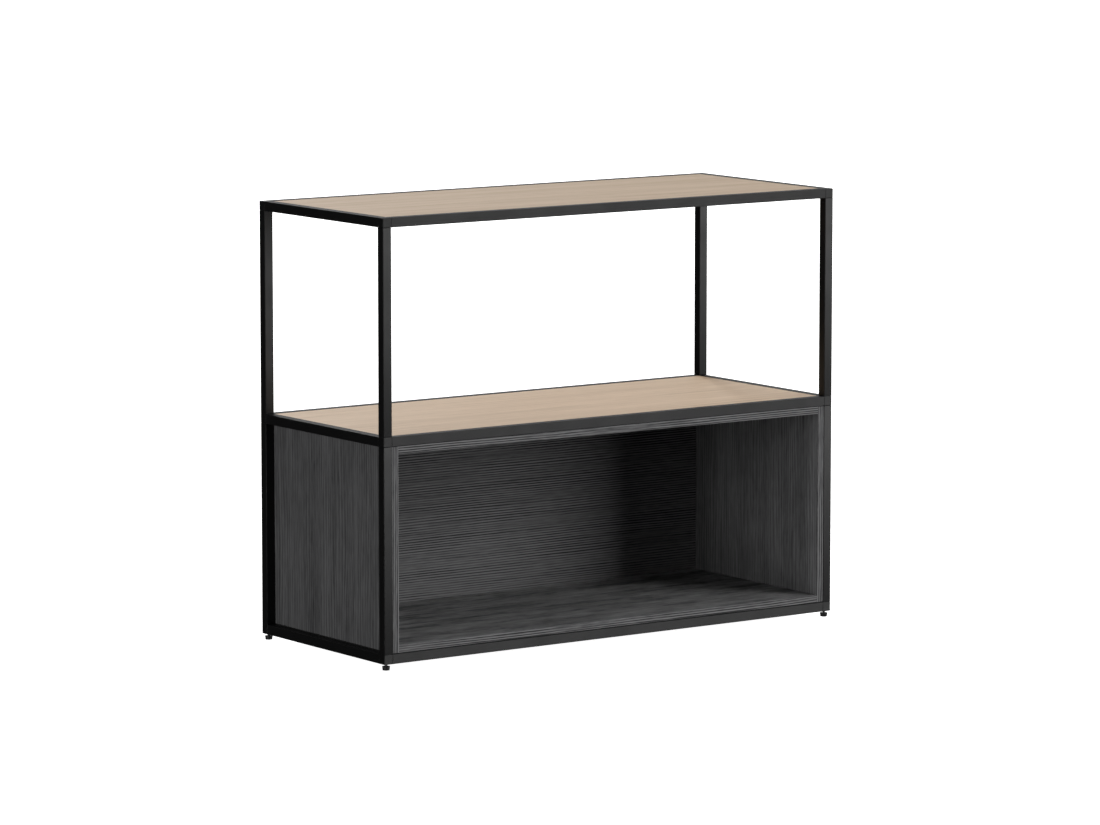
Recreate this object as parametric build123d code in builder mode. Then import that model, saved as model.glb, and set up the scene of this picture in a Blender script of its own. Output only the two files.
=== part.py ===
from build123d import *

import os

# A free-standing two-tier shelving unit: a black square-tube frame on four levelling feet, with a
# light oak shelf let into the top and middle levels and an open-front charcoal cubby in the lower tier.
# Millimetres. The origin is the centre of the footprint on the floor, +Z is up, +X is to the right
# seen from the front, and the open front faces -Y.

# Frame: square tubes that plug onto the spigots of cube connectors at the twelve corners.
tube = 21.0              # outside width of a tube, and the edge of a connector cube
tube_wall = 1.5
edge_radius = 1.0        # long edges of the tubes and all edges of the connector cubes
clear_width = 1158.0     # between the left and right posts
clear_depth = 444.0      # between the front and rear posts
clear_height = 444.5     # between one level of rails and the next
seam = 0.3               # between a tube's end and the cube that it butts against
spigot_clearance = 0.05  # per side, inside the tube
spigot_length = 18.0
spigot_lead = 1.5        # tapered length at the spigot's tip
spigot_lead_taper = 25.0

# Set screws that lock each tube on its spigot, on faces that are turned away from view.
set_screw_radius = 2.5
set_screw_length = 5.0
set_screw_sink = 0.3     # how far the screw lies below the tube's face
set_screw_inset = 9.0    # from the cube to the screw's axis
set_screw_key = 2.5      # across the flats of its hex socket
thread_clearance = 0.05  # radial, for every screw in a threaded or tight hole

# Levelling feet: an M6 stem with a captured head turns in a plastic pad.
stem_radius = 3.0
stem_in_frame = 24.0
stem_bore_depth = 30.0
stem_flat_width = 5.0    # across the two spanner flats
stem_flat_height = 3.0
stem_chamfer = 0.6
stem_head_radius = 5.0
stem_head_height = 2.0
stem_head_level = 2.5    # underside of the head above the floor
pad_height = 8.5
pad_foot_radius = 7.6
pad_top_radius = 8.6
pad_chamfer = 0.3
foot_gap = 4.5           # bare stem between the pad and the frame

# Shelves: boards let into the top and middle levels, held up by tabs on the rails.
board = 16.0
shelf_gap = 1.0
shelf_sink = 0.5         # how far the board lies below the top of the rails
board_arris = 0.4        # rounding of a board's exposed edges
tab_length = 30.0
tab_reach = 16.0
tab_thickness = 3.0
tab_spacing = 400.0      # between the three tabs along a long rail
shelf_screw_radius = 2.0
shelf_screw_head_radius = 3.8
shelf_screw_length = 14.0
shelf_screw_key = 2.0    # across the flats of its hex socket
shelf_screw_cone = 90.0  # included angle under the head, in degrees
shelf_pilot_depth = 12.0 # in the board, a little deeper than the screw goes

# Cubby: side boards the full height, with floor, ceiling and a set-back back board between them.
cubby_side_gap = 0.5     # to the posts on each side
cubby_front_recess = 1.0
cubby_height = 442.0
cubby_back_depth = 456.0 # from the frame's front plane to the face of the back board
band_thickness = 1.0     # edge band glued to the cubby's front edges
band_arris = 0.25
strip_thickness = 2.0    # rubber strips that carry the cubby on the front and rear base rails
strip_width = 14.0
side_strip_height = 6.0  # strips that hang from the side boards inside the side rails
side_strip_clearance = 0.1
side_strip_end_gap = 1.0
fixing_radius = 2.5
fixing_grip = 12.0       # length of a fixing screw inside the cubby floor
fixing_head_radius = 4.8
fixing_head_height = 3.0
fixing_key = 3.0
fixing_access_radius = 5.4  # of the hole in a rail's lower wall that lets a fixing screw and its key in
fixing_spacing = 480.0   # between the three fixing screws along a base rail

# Joinery inside the cubby: dowels and cam fittings.
dowel_radius = 4.0
dowel_in_face = 10.0
dowel_in_edge = 20.0
dowel_chamfer = 0.8
joint_dowel_pitch = 250.0  # between the two dowels of a corner joint, front to back
back_dowel_pitch_up = 240.0
back_dowel_pitch_across = 450.0
cam_pitch = 340.0        # between the two cam fittings of a corner joint, front to back
cam_radius = 7.4
cam_height = 12.0
cam_pocket_radius = 7.5
cam_inset = 24.0         # from the end of the board to the cam's axis
cam_slot = 1.4
cam_bolt_bore = 4.0
cam_bolt_thread = 3.0    # radius of the length that screws into the side board
cam_bolt_thread_length = 10.0
cam_bolt_body = 3.4
cam_bolt_body_length = 16.0
cam_bolt_neck = 2.0
cam_bolt_head = 3.2
cam_bolt_head_length = 3.0

# Worked out from the sizes above.
depth = clear_depth + 2 * tube
pitch = clear_height + tube
underside = pad_height + foot_gap
corner_x = (clear_width + tube) / 2
corner_y = (clear_depth + tube) / 2
sides = {"left": -1, "right": 1}
ends = {"front": -1, "rear": 1}
base_level = underside + tube / 2
levels = {"base": base_level, "mid": base_level + pitch, "top": base_level + 2 * pitch}
shelf_levels = ("mid", "top")
tube_bore = tube - 2 * tube_wall
cubby_bottom = underside + tube + strip_thickness
cubby_top = cubby_bottom + cubby_height
cubby_outer_x = clear_width / 2 - cubby_side_gap
cubby_inner_x = cubby_outer_x - board
cubby_front = -depth / 2 + cubby_front_recess + band_thickness
cubby_rear = depth / 2 - cubby_front_recess
cubby_back_front = -depth / 2 + cubby_back_depth


def save(part, name):
    """Label one finished piece and write it as its own STEP file."""
    part.label = name
    export_step(part, f"parts/{name}.step")


def block(low, high, rounded=0.0):
    """A board or strip between two opposite corners, with all its edges rounded if asked for."""
    size = Vector(*high) - Vector(*low)
    with BuildPart() as made:
        with Locations(low):
            Box(size.X, size.Y, size.Z, align=(Align.MIN, Align.MIN, Align.MIN))
        if rounded:
            fillet(made.edges(), rounded)
    return made.part


def placed_copies(piece, seats):
    """One group of separate copies of a piece, one at each seat plane."""
    with BuildPart() as group:
        with Locations(*seats):
            add(piece)
    return group.part


# ---- Frame ----


def corner(side, end, level):
    """Centre of the connector cube at one corner of one level."""
    return Vector(sides[side] * corner_x, ends[end] * corner_y, levels[level])


def spigot_directions(side, end, level):
    """Directions in which tubes leave this corner."""
    directions = [Vector(-sides[side], 0, 0), Vector(0, -ends[end], 0)]
    if level != "top":
        directions.append(Vector(0, 0, 1))
    if level != "base":
        directions.append(Vector(0, 0, -1))
    return directions


def set_screw_seat(centre, direction):
    """Plane on the tube's face over the set screw of one spigot: under a rail, or inside a post."""
    inward = Vector(-1 if centre.X > 0 else 1, 0, 0)
    face = Vector(0, 0, -1) if direction.Z == 0 else inward
    return Plane(centre + direction * (tube / 2 + set_screw_inset) + face * (tube / 2), z_dir=face)


def corner_connector(side, end, level):
    """Cube with a spigot for each tube; the base ones also take the stem of a foot."""
    centre = corner(side, end, level)
    spigot = tube_bore - 2 * spigot_clearance
    screw_hole = set_screw_radius + thread_clearance
    with BuildPart() as connector:
        with Locations(centre):
            Box(tube, tube, tube)
        fillet(connector.edges(), edge_radius)
        for direction in spigot_directions(side, end, level):
            root = Plane(centre + direction * (tube / 2), z_dir=direction)
            with BuildSketch(root):
                Rectangle(spigot, spigot)
            extrude(amount=spigot_length - spigot_lead)
            with BuildSketch(root.offset(spigot_length - spigot_lead)):
                Rectangle(spigot, spigot)
            extrude(amount=spigot_lead, taper=spigot_lead_taper)
            with Locations(set_screw_seat(centre, direction)):
                Hole(screw_hole, depth=set_screw_sink + set_screw_length + seam)
        if level == "base":
            with Locations(Plane(centre - Vector(0, 0, tube / 2), z_dir=(0, 0, -1))):
                Hole(stem_radius + thread_clearance, depth=stem_bore_depth)
    return connector.part


def square_tube(first, last, cross_holes=()):
    """Hollow tube between the cubes at two corners, drilled for its set screws and any fixing screws."""
    along = (last - first).normalized()
    start = first + along * (tube / 2 + seam)
    length = (last - first).length - tube - 2 * seam
    with BuildPart() as made:
        with BuildSketch(Plane(start, z_dir=along)):
            RectangleRounded(tube, tube, edge_radius)
            Rectangle(tube_bore, tube_bore, mode=Mode.SUBTRACT)
        extrude(amount=length)
        with Locations(set_screw_seat(first, along), set_screw_seat(last, -along)):
            Hole(set_screw_radius + thread_clearance, depth=2 * tube_wall)
        if cross_holes:
            with Locations(*cross_holes):
                Hole(fixing_radius + thread_clearance)
            with Locations(*[seat.offset(tube - tube_wall) for seat in cross_holes]):
                Hole(fixing_access_radius, depth=2 * tube_wall)
    return made.part


def set_screw():
    """Headless screw with a hex socket; its seat is the tube's face and it points down the seat's -Z."""
    with BuildPart() as screw:
        with BuildSketch(Plane.XY.offset(-set_screw_sink)):
            Circle(set_screw_radius)
        extrude(amount=-set_screw_length)
        with BuildSketch(Plane.XY.offset(-set_screw_sink)):
            RegularPolygon(set_screw_key / 2, 6, major_radius=False)
        extrude(amount=-set_screw_key, mode=Mode.SUBTRACT)
    return screw.part


def make_frame():
    """Twelve connectors, twelve rails, eight posts and the set screws that lock them together."""
    seats = []
    for level in levels:
        for side in sides:
            for end in ends:
                save(corner_connector(side, end, level), f"{level}_{end}_{side}_connector")
                centre = corner(side, end, level)
                seats += [set_screw_seat(centre, way) for way in spigot_directions(side, end, level)]
        for end in ends:
            drilled = fixing_seats(end) if level == "base" else ()
            rail = square_tube(corner("left", end, level), corner("right", end, level), drilled)
            save(rail, f"{level}_{end}_rail")
        for side in sides:
            rail = square_tube(corner(side, "front", level), corner(side, "rear", level))
            save(rail, f"{level}_{side}_rail")
    for tier, low, high in (("lower", "base", "mid"), ("upper", "mid", "top")):
        for side in sides:
            for end in ends:
                post = square_tube(corner(side, end, low), corner(side, end, high))
                save(post, f"{tier}_{end}_{side}_post")
    save(placed_copies(set_screw(), seats), "frame_set_screws")


# ---- Levelling feet ----


def foot_stem(centre):
    """M6 stem at its major diameter, with a captured head below and two spanner flats above the pad."""
    flat_cut = stem_radius - stem_flat_width / 2
    with BuildPart() as stem:
        with BuildSketch(Plane(centre).offset(stem_head_level)):
            Circle(stem_head_radius)
        extrude(amount=stem_head_height)
        with BuildSketch(Plane(centre).offset(stem_head_level)):
            Circle(stem_radius)
        extrude(amount=underside + stem_in_frame - stem_head_level)
        chamfer(stem.faces().sort_by(Axis.Z)[-1].edges(), stem_chamfer)
        for way in (-1, 1):
            flat_centre = centre + Vector(0, way * (stem_radius - flat_cut / 2), pad_height + foot_gap / 2)
            with Locations(flat_centre):
                Box(2 * stem_radius, flat_cut, stem_flat_height, mode=Mode.SUBTRACT)
    return stem.part


def foot_pad(centre):
    """Tapered round pad moulded over the stem's head, as one turned profile."""
    neck = stem_radius + thread_clearance
    cavity = stem_head_radius + thread_clearance
    cavity_low = stem_head_level - thread_clearance
    cavity_high = stem_head_level + stem_head_height + thread_clearance
    with BuildPart() as pad:
        with BuildSketch(Plane(centre, x_dir=(1, 0, 0), z_dir=(0, -1, 0))):
            with BuildLine():
                Polyline(
                    (0, 0),
                    (pad_foot_radius - pad_chamfer, 0),
                    (pad_foot_radius, pad_chamfer),
                    (pad_top_radius, pad_height - pad_chamfer),
                    (pad_top_radius - pad_chamfer, pad_height),
                    (neck, pad_height),
                    (neck, cavity_high),
                    (cavity, cavity_high),
                    (cavity, cavity_low),
                    (0, cavity_low),
                    close=True,
                )
            make_face()
        revolve(axis=Axis(centre, (0, 0, 1)))
    return pad.part


def make_feet():
    """A stem and a pad under each base connector."""
    for side in sides:
        for end in ends:
            centre = Vector(sides[side] * corner_x, ends[end] * corner_y, 0)
            save(foot_stem(centre), f"{end}_{side}_foot_stem")
            save(foot_pad(centre), f"{end}_{side}_foot_pad")


# ---- Shelves ----


def shelf_underside(level):
    """Height of the underside of the shelf board in one level."""
    return levels[level] + tube / 2 - shelf_sink - board


def tab_roots():
    """Where each tab meets its rail, and which way it reaches, in plan."""
    roots = []
    for way in (-1, 1):
        for x in (-tab_spacing, 0, tab_spacing):
            roots.append((Vector(x, way * clear_depth / 2), Vector(0, -way)))
        roots.append((Vector(way * clear_width / 2, 0), Vector(-way, 0)))
    return roots


def shelf_screw_seats(level):
    """Planes on the underside of the tabs, one per screw, facing down."""
    seat_height = shelf_underside(level) - tab_thickness
    points = [root + reach * (shelf_gap + tab_reach) / 2 for root, reach in tab_roots()]
    return [Plane((point.X, point.Y, seat_height), z_dir=(0, 0, -1)) for point in points]


def shelf_board(level):
    """Shelf board that fills its level's opening but for the gap all round, with blind pilot holes."""
    top = shelf_underside(level) + board
    with BuildPart() as made:
        with BuildSketch(Plane.XY.offset(top)):
            Rectangle(clear_width - 2 * shelf_gap, clear_depth - 2 * shelf_gap)
        extrude(amount=-board)
        fillet(made.faces().sort_by(Axis.Z)[-1].edges(), board_arris)
        with Locations(*shelf_screw_seats(level)):
            Hole(shelf_screw_radius + thread_clearance, depth=tab_thickness + shelf_pilot_depth)
    return made.part


def shelf_tabs():
    """Plate tabs welded to the inner faces of the rails, countersunk from below."""
    with BuildPart() as tabs:
        for level in shelf_levels:
            for root, reach in tab_roots():
                middle = root + reach * (tab_reach / 2)
                along_x = tab_reach if reach.X else tab_length
                along_y = tab_length if reach.X else tab_reach
                with BuildSketch(Plane((middle.X, middle.Y, shelf_underside(level)))):
                    Rectangle(along_x, along_y)
            extrude(amount=-tab_thickness)
            with Locations(*shelf_screw_seats(level)):
                CounterSinkHole(
                    shelf_screw_radius + 2 * thread_clearance,
                    shelf_screw_head_radius + 2 * thread_clearance,
                    depth=2 * tab_thickness,
                    counter_sink_angle=shelf_screw_cone,
                )
    return tabs.part


def shelf_screw():
    """Countersunk screw as one turned profile; its head lies flush in the seat and it points down -Z."""
    cone = shelf_screw_head_radius - shelf_screw_radius
    with BuildPart() as screw:
        with BuildSketch(Plane.XZ):
            with BuildLine():
                Polyline(
                    (0, 0),
                    (shelf_screw_head_radius, 0),
                    (shelf_screw_radius, -cone),
                    (shelf_screw_radius, shelf_screw_radius - shelf_screw_length),
                    (0, -shelf_screw_length),
                    close=True,
                )
            make_face()
        revolve(axis=Axis.Z)
        with BuildSketch():
            RegularPolygon(shelf_screw_key / 2, 6, major_radius=False)
        extrude(amount=-cone, mode=Mode.SUBTRACT)
    return screw.part


def make_shelves():
    """Two oak boards, the tabs under them and the screws that hold them down."""
    for level in shelf_levels:
        save(shelf_board(level), f"{level}_shelf")
    save(shelf_tabs(), "shelf_support_tabs")
    seats = [seat for level in shelf_levels for seat in shelf_screw_seats(level)]
    save(placed_copies(shelf_screw(), seats), "shelf_screws")


# ---- Cubby ----


def fixing_seats(end):
    """Planes inside a base rail, under its top wall, one per screw that goes up into the cubby floor."""
    y = ends[end] * corner_y
    height = underside + tube - tube_wall
    return [Plane((x, y, height), z_dir=(0, 0, -1)) for x in (-fixing_spacing, 0, fixing_spacing)]


def joint_positions(spacing):
    """Front-to-back places of a pair of fittings in a corner joint."""
    return (-spacing / 2, spacing / 2)


def end_seats(side, height, spacing):
    """Planes on the inner face of a side board, facing into the cubby, for a floor or ceiling joint."""
    way = sides[side]
    return [Plane((way * cubby_inner_x, y, height), z_dir=(-way, 0, 0)) for y in joint_positions(spacing)]


def back_seats_on_side(side):
    """Planes on a side board's inner face for the dowels in the back board's upright edge."""
    way = sides[side]
    back_middle = cubby_back_front + board / 2
    heights = [(cubby_bottom + cubby_top + step * back_dowel_pitch_up) / 2 for step in (-1, 1)]
    return [Plane((way * cubby_inner_x, back_middle, height), z_dir=(-way, 0, 0)) for height in heights]


def back_seats_on_board(height, up):
    """Planes on the floor's top or the ceiling's underside for the dowels in the back board's long edge."""
    back_middle = cubby_back_front + board / 2
    return [
        Plane((x, back_middle, height), z_dir=(0, 0, up))
        for x in (-back_dowel_pitch_across, 0, back_dowel_pitch_across)
    ]


def flipped(seats):
    """The same seats seen from the board on the other side of the joint."""
    return [Plane(seat.origin, z_dir=-seat.z_dir) for seat in seats]


def cubby_decks():
    """Name, underside, top face that shows inside, and outward direction of the floor and the ceiling."""
    return (
        ("floor", cubby_bottom, cubby_bottom + board, -1),
        ("ceiling", cubby_top - board, cubby_top - board, 1),
    )


def dowel_seats():
    """Every place where a dowel crosses a joint, as planes facing from the drilled face to the edge."""
    seats = []
    for side in sides:
        seats += back_seats_on_side(side)
        for _, low, _, _ in cubby_decks():
            seats += end_seats(side, low + board / 2, joint_dowel_pitch)
    for _, _, inner_face, outward in cubby_decks():
        seats += back_seats_on_board(inner_face, -outward)
    return seats


def cam_bolt_seats():
    """Every place where a cam bolt leaves a side board."""
    return [
        seat
        for side in sides
        for _, low, _, _ in cubby_decks()
        for seat in end_seats(side, low + board / 2, cam_pitch)
    ]


def cam_seats(outer_face, outward):
    """Planes on the hidden face of the floor or ceiling, over each cam."""
    cam_x = cubby_inner_x - cam_inset
    return [
        Plane((way * cam_x, y, outer_face), x_dir=(way, 0, 0), z_dir=(0, 0, outward))
        for way in sides.values()
        for y in joint_positions(cam_pitch)
    ]


def side_board(side):
    """Full-height side of the cubby, drilled on its inner face."""
    way = sides[side]
    near, far = sorted((way * cubby_inner_x, way * cubby_outer_x))
    with BuildPart() as made:
        add(block((near, cubby_front, cubby_bottom), (far, cubby_rear, cubby_top)))
        for _, low, _, _ in cubby_decks():
            with Locations(*end_seats(side, low + board / 2, joint_dowel_pitch)):
                Hole(dowel_radius + thread_clearance, depth=dowel_in_face + thread_clearance)
            with Locations(*end_seats(side, low + board / 2, cam_pitch)):
                Hole(cam_bolt_thread + thread_clearance, depth=cam_bolt_thread_length + thread_clearance)
        with Locations(*back_seats_on_side(side)):
            Hole(dowel_radius + thread_clearance, depth=dowel_in_face + thread_clearance)
    return made.part


def deck_board(low, inner_face, outward):
    """Floor or ceiling of the cubby, drilled in both ends, for the cams and for the back board's dowels."""
    outer_face = low if outward < 0 else low + board
    with BuildPart() as made:
        add(block((-cubby_inner_x, cubby_front, low), (cubby_inner_x, cubby_rear, low + board)))
        for side in sides:
            with Locations(*flipped(end_seats(side, low + board / 2, joint_dowel_pitch))):
                Hole(dowel_radius + thread_clearance, depth=dowel_in_edge + thread_clearance)
            with Locations(*flipped(end_seats(side, low + board / 2, cam_pitch))):
                Hole(cam_bolt_bore, depth=cam_inset)
        with Locations(*cam_seats(outer_face, outward)):
            Hole(cam_pocket_radius, depth=cam_height + thread_clearance)
        with Locations(*back_seats_on_board(inner_face, -outward)):
            Hole(dowel_radius + thread_clearance, depth=dowel_in_face + thread_clearance)
        if outward < 0:
            with Locations(*fixing_seats("front"), *fixing_seats("rear")):
                Hole(fixing_radius + thread_clearance, depth=tube_wall + strip_thickness + fixing_grip)
    return made.part


def back_board():
    """Back of the cubby, set between all four boards and doweled on every edge."""
    low = cubby_bottom + board
    high = cubby_top - board
    with BuildPart() as made:
        add(block((-cubby_inner_x, cubby_back_front, low), (cubby_inner_x, cubby_back_front + board, high)))
        for side in sides:
            with Locations(*flipped(back_seats_on_side(side))):
                Hole(dowel_radius + thread_clearance, depth=dowel_in_edge + thread_clearance)
        for _, _, inner_face, outward in cubby_decks():
            with Locations(*flipped(back_seats_on_board(inner_face, -outward))):
                Hole(dowel_radius + thread_clearance, depth=dowel_in_edge + thread_clearance)
    return made.part


def dowel():
    """Fluteless beech dowel across a joint at local z = 0, with its short end in the drilled face."""
    with BuildPart() as made:
        with BuildSketch(Plane.XY.offset(-dowel_in_face)):
            Circle(dowel_radius)
        extrude(amount=dowel_in_face + dowel_in_edge)
        chamfer(made.edges(), dowel_chamfer)
    return made.part


def cam_bolt():
    """Bolt that screws into a side board and ends in a head inside the cam, as one turned profile."""
    body_end = cam_bolt_body_length
    head_end = cam_inset
    head_start = head_end - cam_bolt_head_length
    with BuildPart() as made:
        with BuildSketch(Plane.XZ):
            with BuildLine():
                Polyline(
                    (0, -cam_bolt_thread_length),
                    (cam_bolt_thread, -cam_bolt_thread_length),
                    (cam_bolt_thread, 0),
                    (cam_bolt_body, 0),
                    (cam_bolt_body, body_end),
                    (cam_bolt_neck, body_end),
                    (cam_bolt_neck, head_start),
                    (cam_bolt_head, head_start),
                    (cam_bolt_head, head_end),
                    (0, head_end),
                    close=True,
                )
            make_face()
        revolve(axis=Axis.Z)
    return made.part


def cam():
    """Cam disc with its face in the seat, bored from the rim for the bolt and slotted for a driver."""
    bolt_level = -board / 2
    with BuildPart() as made:
        with BuildSketch():
            Circle(cam_radius)
        extrude(amount=-cam_height)
        with Locations(Plane((cam_radius, 0, bolt_level), z_dir=(1, 0, 0))):
            Hole(cam_bolt_bore, depth=cam_radius + cam_bolt_head)
        with BuildSketch():
            Rectangle(cam_radius, cam_slot)
            Rectangle(cam_slot, cam_radius)
        extrude(amount=-cam_slot, mode=Mode.SUBTRACT)
    return made.part


def fixing_screw():
    """Pan-head screw inside a base rail, up through its top wall and the rubber strip into the cubby floor."""
    reach = tube_wall + strip_thickness + fixing_grip - 2 * thread_clearance
    with BuildPart() as screw:
        with BuildSketch():
            Circle(fixing_radius)
        extrude(amount=-reach)
        with BuildSketch():
            Circle(fixing_head_radius)
        extrude(amount=fixing_head_height)
        fillet(screw.edges().sort_by(Axis.Z)[-1], fixing_head_height / 2)
        with BuildSketch(Plane.XY.offset(fixing_head_height)):
            RegularPolygon(fixing_key / 2, 6, major_radius=False)
        extrude(amount=-fixing_head_height / 2, mode=Mode.SUBTRACT)
    return screw.part


def seat_strips():
    """Rubber strips between the cubby and the front and rear base rails, holed for the fixing screws."""
    with BuildPart() as strips:
        with BuildSketch(Plane.XY.offset(underside + tube)):
            with Locations((0, -corner_y), (0, corner_y)):
                Rectangle(2 * cubby_outer_x, strip_width)
            with GridLocations(fixing_spacing, 2 * corner_y, 3, 2):
                Circle(fixing_radius + 2 * thread_clearance, mode=Mode.SUBTRACT)
        extrude(amount=strip_thickness)
    return strips.part


def side_strips():
    """Deeper rubber strips under the side boards, which centre the cubby between the side rails."""
    middle = (clear_width - strip_width) / 2 - side_strip_clearance
    with BuildPart() as strips:
        with BuildSketch(Plane.XY.offset(cubby_bottom)):
            with Locations((-middle, 0), (middle, 0)):
                Rectangle(strip_width, clear_depth - 2 * side_strip_end_gap)
        extrude(amount=-side_strip_height)
    return strips.part


def make_edge_bands():
    """Bands on the front edges: uprights the full height, the other two between them."""
    face = cubby_front - band_thickness
    for side, way in sides.items():
        near, far = sorted((way * cubby_inner_x, way * cubby_outer_x))
        band = block((near, face, cubby_bottom), (far, cubby_front, cubby_top), band_arris)
        save(band, f"cubby_{side}_edge_band")
    for name, low, _, _ in cubby_decks():
        band = block((-cubby_inner_x, face, low), (cubby_inner_x, cubby_front, low + board), band_arris)
        save(band, f"cubby_{name}_edge_band")


def make_cubby():
    """Five boards with their edge bands, joinery, rubber strips and fixing screws."""
    for side in sides:
        save(side_board(side), f"cubby_{side}_side")
    for name, low, inner_face, outward in cubby_decks():
        save(deck_board(low, inner_face, outward), f"cubby_{name}")
    save(back_board(), "cubby_back")
    make_edge_bands()
    save(placed_copies(dowel(), dowel_seats()), "cubby_dowels")
    save(placed_copies(cam_bolt(), cam_bolt_seats()), "cubby_cam_bolts")
    cams_below = cam_seats(cubby_bottom, -1)
    cams_above = cam_seats(cubby_top, 1)
    save(placed_copies(cam(), cams_below + cams_above), "cubby_cams")
    save(seat_strips(), "cubby_seat_strips")
    save(side_strips(), "cubby_side_strips")
    fixings = fixing_seats("front") + fixing_seats("rear")
    save(placed_copies(fixing_screw(), fixings), "cubby_fixing_screws")


os.makedirs("parts", exist_ok=True)
make_frame()
make_feet()
make_shelves()
make_cubby()
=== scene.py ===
import math

import bpy
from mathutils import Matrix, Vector


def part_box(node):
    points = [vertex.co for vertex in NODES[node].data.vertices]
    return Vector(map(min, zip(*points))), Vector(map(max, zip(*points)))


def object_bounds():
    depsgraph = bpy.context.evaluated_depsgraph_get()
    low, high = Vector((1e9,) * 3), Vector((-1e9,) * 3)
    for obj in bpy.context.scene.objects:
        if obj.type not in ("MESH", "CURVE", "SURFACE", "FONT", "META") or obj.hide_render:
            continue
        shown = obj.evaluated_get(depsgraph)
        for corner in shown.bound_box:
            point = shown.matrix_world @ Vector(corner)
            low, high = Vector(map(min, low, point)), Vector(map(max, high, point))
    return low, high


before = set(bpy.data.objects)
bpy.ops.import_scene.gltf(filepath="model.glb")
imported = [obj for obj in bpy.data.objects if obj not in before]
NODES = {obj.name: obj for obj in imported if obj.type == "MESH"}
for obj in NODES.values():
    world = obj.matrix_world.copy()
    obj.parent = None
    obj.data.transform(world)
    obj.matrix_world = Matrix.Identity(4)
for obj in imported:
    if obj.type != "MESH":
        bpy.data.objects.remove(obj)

# Looks for the two-tier shelving unit: black powder-coated tube, light oak shelves, charcoal oak cubby.
# Metres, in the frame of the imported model: the open front faces -Y and the feet stand on z = 0 at rest.
# The CAD nodes are all the geometry there is; this script gives them their materials and builds the studio.

cad_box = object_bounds()
FEET = ("front_left", "front_right", "rear_left", "rear_right")

EDGE_SOFTNESS = 0.0006  # radius that the shading gives to sharp edges

# How far the metal faces seem to lean up at the bottom and at the top of a post, and from the lowest rails to
# the top ones, in radians: far too little to see, but their reflections show it.
POST_LEAN = (-0.105, 0.105)
RAIL_LEAN = (0.03, -0.03)

FLOOR_LEVEL = -0.01     # as far under the pads as a foot screws out
FLOOR_SIZE = 60.0
SOFTBOX_DISTANCE = 30.0
STUDIO_DIM = 0.02       # how bright the studio is away from the rear right, and towards it
STUDIO_GLOW = 0.9
GLOW_DIRECTION = (0.86, 0.5, 0.1)

CAMERA_PLACE = (-6.892, -9.759, 2.066)
CAMERA_YAW = 35.234     # degrees to the right of straight ahead, +Y
CAMERA_PITCH = 7.554    # degrees down
CAMERA_LENS = 178.58    # millimetres, on a sensor this wide
CAMERA_SENSOR = 36.0


# ---- Node helpers ----


class Graph:
    """A short way to write a material's or the world's nodes."""

    def __init__(self, tree):
        self.tree = tree
        tree.nodes.clear()

    def node(self, kind, settings=None, **inputs):
        """Adds a node, sets its properties, and sets or links its inputs (spaces in names written as _)."""
        made = self.tree.nodes.new(kind)
        for name, value in (settings or {}).items():
            setattr(made, name, value)
        for name, value in inputs.items():
            self.put(made.inputs[name.replace("_", " ")], value)
        return made

    def put(self, socket, value):
        """Links a socket to another socket, or gives it a plain value."""
        if isinstance(value, bpy.types.NodeSocket):
            self.tree.links.new(value, socket)
        else:
            socket.default_value = value

    def math(self, operation, first, second=0.0, clamp=False):
        """One step of arithmetic on numbers or sockets."""
        made = self.tree.nodes.new("ShaderNodeMath")
        made.operation = operation
        made.use_clamp = clamp
        self.put(made.inputs[0], first)
        self.put(made.inputs[1], second)
        return made.outputs[0]

    def dot(self, first, second):
        """Dot product of two directions."""
        made = self.node("ShaderNodeVectorMath", {"operation": "DOT_PRODUCT"})
        self.put(made.inputs[0], first)
        self.put(made.inputs[1], second)
        return made.outputs["Value"]

    def stretched(self, coordinates, scale, offset=(0.0, 0.0, 0.0)):
        """Coordinates scaled along each axis and shifted."""
        made = self.node("ShaderNodeMapping", Vector=coordinates, Scale=scale, Location=offset)
        return made.outputs["Vector"]

    def noise(self, coordinates, scale=1.0, detail=3.0):
        """Fractal noise, 0 to 1."""
        made = self.node("ShaderNodeTexNoise", Vector=coordinates, Scale=scale, Detail=detail)
        return made.outputs["Fac"]

    def remap(self, value, low, high, to_low=0.0, to_high=1.0):
        """Linear map from one range to another, clamped."""
        made = self.node("ShaderNodeMapRange", Value=value, From_Min=low, From_Max=high)
        self.put(made.inputs["To Min"], to_low)
        self.put(made.inputs["To Max"], to_high)
        return made.outputs["Result"]

    def mix(self, share, first, second):
        """Blend of two colours."""
        made = self.node("ShaderNodeMix", {"data_type": "RGBA"})
        self.put(made.inputs[0], share)
        self.put(made.inputs[6], first)
        self.put(made.inputs[7], second)
        return made.outputs[2]


def srgb(red, green, blue):
    """Linear colour with full alpha from 0 to 255 screen values."""
    def linear(value):
        value /= 255.0
        return value / 12.92 if value <= 0.04045 else ((value + 0.055) / 1.055) ** 2.4
    return (linear(red), linear(green), linear(blue), 1.0)


def new_material(name):
    """An empty material with its graph."""
    made = bpy.data.materials.new(name)
    made.use_nodes = True
    return made, Graph(made.node_tree)


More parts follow.
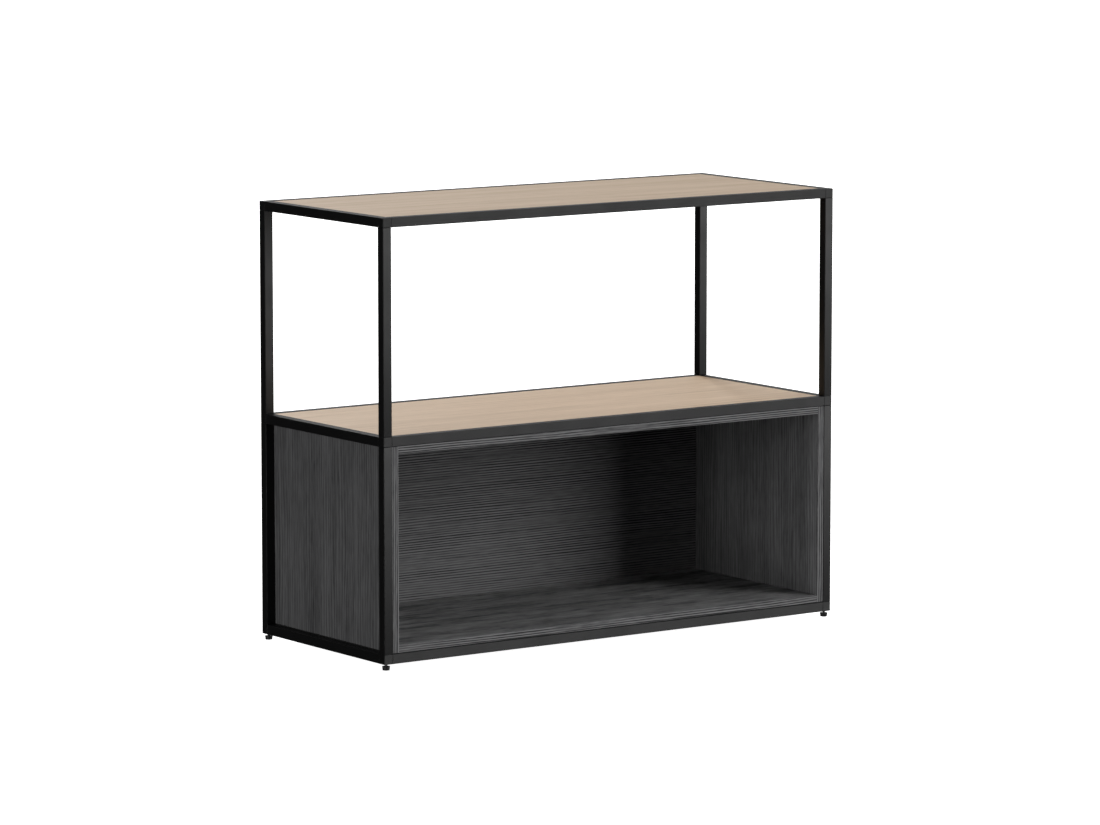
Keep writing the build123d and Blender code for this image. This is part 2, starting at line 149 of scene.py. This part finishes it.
def close_material(graph, colour, roughness, height, relief, specular=0.5, lean=None):
    """Puts a principled surface with softened edges and bump under the given inputs.

    height and relief make the bump; lean tips the shading normal up by that much, for a face that isn't
    quite flat.
    """
    normal = graph.node("ShaderNodeBevel", {"samples": 4}, Radius=EDGE_SOFTNESS).outputs["Normal"]
    if lean is not None:
        tipped = graph.node("ShaderNodeVectorMath", {"operation": "ADD"})
        graph.put(tipped.inputs[0], normal)
        graph.put(tipped.inputs[1], graph.node("ShaderNodeCombineXYZ", Z=lean).outputs[0])
        straight = graph.node("ShaderNodeVectorMath", {"operation": "NORMALIZE"})
        graph.put(straight.inputs[0], tipped.outputs[0])
        normal = straight.outputs[0]
    bump = graph.node("ShaderNodeBump", Strength=1.0, Distance=relief, Height=height, Normal=normal)
    surface = graph.node("ShaderNodeBsdfPrincipled", Roughness=roughness, Normal=bump.outputs["Normal"])
    graph.put(surface.inputs["Base Color"], colour)
    graph.put(surface.inputs["Specular IOR Level"], specular)
    graph.node("ShaderNodeOutputMaterial", Surface=surface.outputs["BSDF"])
    return surface


# ---- Materials ----


def wood(name, along, finish, shift=0.0):
    """Wood with its grain along one axis.

    finish holds the two colours that the tone runs between, the tone at the origin and how much it changes per
    metre along each axis, which is painted light and shade that makes a board paler on one side and darker on
    the other, the pitch of the ribs and how far they wander, and how strong each feature is: ribs, which are
    close, slightly wavy growth lines, then thin dark lines, pale fibres, broad bands along the board and
    smudges. shift moves the whole pattern, so that no two boards match.
    """
    made, graph = new_material(name)
    place = graph.node("ShaderNodeTexCoord").outputs["Object"]
    pitch = finish["pitch"]

    def pattern(width, length, seed, detail=2.0):
        """Noise whose patches are about this wide across the grain and this long along it."""
        scale = [1.0 / width] * 3
        scale["XYZ".index(along)] = 1.0 / length
        offset = (shift + seed, 1.7 * shift - seed, 0.6 * shift + 2.0 * seed)
        return graph.noise(graph.stretched(place, scale, offset), detail=detail)

    across = graph.node("ShaderNodeSeparateXYZ", Vector=place)
    others = [across.outputs[axis] for axis in "XYZ" if axis != along]
    distance = graph.math("DIVIDE", graph.math("ADD", others[0], others[1]), pitch)
    wander = graph.math("MULTIPLY", pattern(8.0 * pitch, 0.6, 2.9), finish["wander"])
    wave = graph.math("SINE", graph.math("MULTIPLY", graph.math("ADD", distance, wander), 2.0 * math.pi))
    fade = graph.remap(pattern(4.0 * pitch, 0.25, 7.7, detail=3.0), 0.3, 0.6)
    ribs = graph.math("MULTIPLY", wave, fade)
    lines = graph.remap(pattern(1.1 * pitch, 0.45, 3.1, detail=1.0), 0.56, 0.7)
    fibres = pattern(0.5 * pitch, 0.035, 1.3, detail=3.0)
    bands = pattern(0.06, 1.2, 4.7, detail=3.0)
    smudges = pattern(0.03, 0.16, 6.1)
    # The tone starts from a gradient across the board, which is painted light and shade.
    tone = graph.math("ADD", graph.dot(place, finish["painted_shade_drift"]), finish["tone"])
    for value, middle, strength in (
        (ribs, 0.0, finish["ribs"]),
        (lines, 0.1, -finish["lines"]),
        (fibres, 0.5, finish["fibres"]),
        (bands, 0.5, finish["bands"]),
        (smudges, 0.5, finish["smudges"]),
    ):
        centred = graph.math("SUBTRACT", value, middle)
        tone = graph.math("ADD", tone, graph.math("MULTIPLY", centred, strength))
    colour = graph.mix(graph.math("ADD", tone, 0.0, clamp=True), finish["dark"], finish["pale"])
    shine = graph.remap(tone, 0.2, 0.8, finish["roughness"] + 0.05, finish["roughness"] - 0.05)
    close_material(graph, colour, shine, tone, finish["relief"], specular=finish["specular"])
    return made


def powder_coat(name, span, leans):
    """Black satin powder coat: orange-peel texture, slightly varied gloss; up-facing faces get a painted grey
    sheen and less specular.

    leans holds how far the faces lean up at the two heights in span.
    """
    made, graph = new_material(name)
    place = graph.node("ShaderNodeTexCoord").outputs["Object"]
    peel = graph.noise(place, scale=1400.0, detail=2.0)
    patches = graph.noise(place, scale=14.0, detail=3.0)
    shine = graph.remap(patches, 0.3, 0.7, 0.41, 0.47)
    height = graph.node("ShaderNodeSeparateXYZ", Vector=place).outputs["Z"]
    lean = graph.remap(height, span[0], span[1], leans[0], leans[1])
    facing = graph.node("ShaderNodeNewGeometry").outputs["Normal"]
    upward = graph.node("ShaderNodeSeparateXYZ", Vector=facing).outputs["Z"]
    # Up-facing faces are mixed towards srgb(40, 40, 41), a painted sheen standing in for the lights'
    # reflection on the tops.
    top = graph.remap(upward, 0.3, 0.9)
    colour = graph.mix(top, graph.mix(patches, srgb(3, 3, 4), srgb(5, 5, 5)), srgb(40, 40, 41))
    specular = graph.remap(top, 0.0, 1.0, 0.31, 0.03)
    close_material(graph, colour, shine, peel, 0.00002, specular=specular, lean=lean)
    return made


def plain(name, colour, roughness, metallic=0.0):
    """Small parts: moulded plastic or plated metal with a fine texture."""
    made, graph = new_material(name)
    place = graph.node("ShaderNodeTexCoord").outputs["Object"]
    grain = graph.noise(place, scale=900.0, detail=2.0)
    darker = tuple(0.85 * value for value in colour[:3]) + (1.0,)
    shine = graph.remap(grain, 0.3, 0.7, roughness - 0.05, roughness + 0.05)
    surface = close_material(graph, graph.mix(grain, darker, colour), shine, grain, 0.00003)
    surface.inputs["Metallic"].default_value = metallic
    return made


# ---- Finishes: see wood() for what each entry does ----


OAK = dict(
    dark=srgb(168, 140, 107),
    pale=srgb(220, 194, 164),
    tone=0.5,
    painted_shade_drift=(0.0, 0.0, 0.0),
    pitch=0.006,
    wander=3.0,
    ribs=0.1,
    lines=0.25,
    fibres=0.4,
    bands=0.5,
    smudges=0.2,
    roughness=0.6,
    specular=0.3,
    relief=0.00003,
)
SHELVES = {
    "top_shelf": OAK,
    # The mid shelf gets a paler copy of the oak: painted light, standing in for the brighter light on it.
    "mid_shelf": dict(OAK, dark=srgb(182, 153, 120), pale=srgb(238, 212, 182)),
}
CHARCOAL = dict(
    dark=srgb(28, 28, 29),
    pale=srgb(116, 116, 117),
    tone=0.5,
    painted_shade_drift=(0.0, 0.0, 0.0),
    pitch=0.0056,
    wander=1.6,
    ribs=0.6,
    lines=0.15,
    fibres=0.7,
    bands=0.12,
    smudges=0.12,
    roughness=0.62,
    specular=0.25,
    relief=0.00003,
)
# Floor and ceiling boards: painted paler than the other charcoal boards, and paler towards the front and
# darker towards the rear, as painted light and shade.
FLAT_BOARD_WITH_PAINTED_LIGHT = dict(
    along="X",
    dark=srgb(58, 58, 59),
    pale=srgb(168, 168, 169),
    tone=0.43,
    painted_shade_drift=(0.0, -0.34, 0.0),
    pitch=0.012,
    ribs=0.15,
    fibres=1.0,
    bands=0.8,
    smudges=1.1,
)
UPRIGHT_BOARD = dict(
    along="Z",
    dark=srgb(32, 32, 33),
    pale=srgb(113, 113, 114),
    pitch=0.009,
    wander=5.0,
    ribs=0.16,
    lines=0.1,
    fibres=0.6,
    bands=0.7,
    smudges=0.35,
)
# How each charcoal board differs from CHARCOAL, and the way its grain runs.
BOARDS = {
    # The back board is painted paler towards the bottom, as painted light.
    "back": dict(along="X", tone=0.72, painted_shade_drift=(0.0, 0.0, -0.67)),
    "floor": FLAT_BOARD_WITH_PAINTED_LIGHT,
    "ceiling": FLAT_BOARD_WITH_PAINTED_LIGHT,
    "left_side": UPRIGHT_BOARD,
    # The right side is a paler copy of the upright board: painted light, standing in for more fill light on
    # its inner face.
    "right_side": dict(UPRIGHT_BOARD, dark=srgb(34, 34, 35), pale=srgb(121, 121, 122)),
}
EDGING = dict(
    CHARCOAL,
    dark=srgb(44, 44, 45),
    pale=srgb(126, 126, 127),
    pitch=0.005,
    wander=2.5,
    ribs=0.7,
    fibres=1.3,
)
BEECH = dict(OAK, pitch=0.003, dark=srgb(180, 140, 98), pale=srgb(222, 186, 144))


# ---- Materials on the nodes ----


def paint(node, material):
    """Gives one CAD node its material."""
    slots = NODES[node].data.materials
    slots.clear()
    slots.append(material)


def board_finish(name):
    """Grain direction and finish of one charcoal board."""
    finish = dict(CHARCOAL, **BOARDS[name])
    return finish.pop("along"), finish


def paint_frame():
    """Powder coat on the tubes, connectors and tabs; the posts of a tier share a material."""
    for tier in ("lower", "upper"):
        low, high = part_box(f"{tier}_front_left_post")
        coat = powder_coat(f"powder_coat_{tier}_posts", (low.z, high.z), POST_LEAN)
        for node in NODES:
            if node.startswith(tier) and node.endswith("_post"):
                paint(node, coat)
    coat = powder_coat("powder_coat", (cad_box[0][2], cad_box[1][2]), RAIL_LEAN)
    for node in NODES:
        if node.endswith(("_connector", "_rail", "_tabs")):
            paint(node, coat)


def paint_boards():
    """Oak shelves, charcoal cubby boards and their edge bands."""
    for number, (node, finish) in enumerate(SHELVES.items()):
        paint(node, wood(f"oak_{node}", "X", finish, shift=3.7 * number))
    for number, name in enumerate(BOARDS):
        along, finish = board_finish(name)
        paint(f"cubby_{name}", wood(f"charcoal_{name}", along, finish, shift=2.3 * number))
    for number, name in enumerate(("left", "right", "floor", "ceiling")):
        along = "Z" if name in ("left", "right") else "X"
        paint(f"cubby_{name}_edge_band", wood(f"edging_{name}", along, EDGING, shift=1.9 * number))


def paint_hardware():
    """Screws, dowels, cams, rubber strips and feet."""
    steel = plain("steel_zinc_plated", srgb(176, 176, 172), 0.35, metallic=1.0)
    black_steel = plain("steel_black_oxide", srgb(52, 52, 54), 0.4, metallic=0.8)
    plastic = plain("plastic_black", srgb(26, 26, 27), 0.5)
    rubber = plain("rubber_black", srgb(15, 15, 15), 0.8)
    beech = wood("beech", "X", BEECH)
    for node, made in {
        "frame_set_screws": black_steel,
        "shelf_screws": steel,
        "cubby_dowels": beech,
        "cubby_cam_bolts": steel,
        "cubby_cams": steel,
        "cubby_seat_strips": rubber,
        "cubby_side_strips": rubber,
        "cubby_fixing_screws": black_steel,
    }.items():
        paint(node, made)
    for foot in FEET:
        paint(f"{foot}_foot_stem", black_steel)
        paint(f"{foot}_foot_pad", plastic)


# ---- Stage ----


def make_floor():
    """Plain white floor that takes no shadows, low enough for a foot that is screwed right out."""
    bpy.ops.mesh.primitive_plane_add(size=FLOOR_SIZE, location=(0.0, 0.0, FLOOR_LEVEL))
    floor = bpy.context.object
    floor.name = "floor"
    made, graph = new_material("floor_white")
    lit = graph.node("ShaderNodeBsdfDiffuse", Color=(0.9, 0.9, 0.9, 1.0))
    glow = graph.node("ShaderNodeEmission", Color=(1.0, 1.0, 1.0, 1.0), Strength=1.0)
    both = graph.node("ShaderNodeAddShader")
    graph.put(both.inputs[0], lit.outputs[0])
    graph.put(both.inputs[1], glow.outputs[0])
    graph.node("ShaderNodeOutputMaterial", Surface=both.outputs[0])
    floor.data.materials.append(made)
    floor.visible_glossy = False
    floor.visible_diffuse = False
    floor.visible_shadow = False


def make_world():
    """White for the camera; for the surfaces a dim studio that grows brighter towards the rear right."""
    world = bpy.data.worlds.new("studio")
    bpy.context.scene.world = world
    world.use_nodes = True
    graph = Graph(world.node_tree)
    way = graph.node("ShaderNodeTexCoord").outputs["Generated"]
    toward_rear_right = graph.dot(way, GLOW_DIRECTION)
    glow = graph.remap(toward_rear_right, 0.2, 1.0, STUDIO_DIM, STUDIO_GLOW)
    seen = graph.node("ShaderNodeLightPath").outputs["Is Camera Ray"]
    strength = graph.math("MAXIMUM", glow, seen)
    background = graph.node("ShaderNodeBackground", Color=(1.0, 1.0, 1.0, 1.0), Strength=strength)
    graph.node("ShaderNodeOutputWorld", Surface=background.outputs[0])


def softbox(name, turn, rise, half_width, half_height, strength):
    """Softbox aimed at the unit's middle.

    turn is the angle from the front (-Y) towards the right (+X), rise the height above the horizon, and the
    two halves how far the box reaches from its middle, all in degrees. strength is the light on a surface that
    faces the box.
    """
    data = bpy.data.lights.new(name, "AREA")
    data.shape = "RECTANGLE"
    data.size = 2 * SOFTBOX_DISTANCE * math.tan(math.radians(half_width))
    data.size_y = 2 * SOFTBOX_DISTANCE * math.tan(math.radians(half_height))
    data.energy = strength * math.pi * SOFTBOX_DISTANCE ** 2
    lamp = bpy.data.objects.new(name, data)
    bpy.context.scene.collection.objects.link(lamp)
    turn, rise = math.radians(turn), math.radians(rise)
    way = Vector((math.sin(turn) * math.cos(rise), -math.cos(turn) * math.cos(rise), math.sin(rise)))
    middle = (Vector(cad_box[0]) + Vector(cad_box[1])) / 2
    lamp.location = middle + way * SOFTBOX_DISTANCE
    lamp.rotation_euler = (-way).to_track_quat("-Z", "Y").to_euler()


def make_lights():
    """A key from the front right, a fill from the left, and one from behind for the tops and the back."""
    softbox("key", turn=38.5, rise=14.5, half_width=14.0, half_height=24.0, strength=2.35)
    softbox("fill", turn=-75.0, rise=4.0, half_width=15.0, half_height=15.0, strength=1.5)
    softbox("rear", turn=166.0, rise=29.0, half_width=11.0, half_height=17.0, strength=2.0)


def make_camera():
    """Long lens from the front left, a little above the top shelf."""
    data = bpy.data.cameras.new("camera")
    data.sensor_width = CAMERA_SENSOR
    data.lens = CAMERA_LENS
    data.clip_end = 200.0
    camera = bpy.data.objects.new("camera", data)
    bpy.context.scene.collection.objects.link(camera)
    camera.location = CAMERA_PLACE
    camera.rotation_euler = (math.radians(90.0 - CAMERA_PITCH), 0.0, -math.radians(CAMERA_YAW))
    bpy.context.scene.camera = camera


paint_frame()
paint_boards()
paint_hardware()
make_floor()
make_world()
make_lights()
make_camera()
bpy.context.scene.view_settings.view_transform = "Standard"
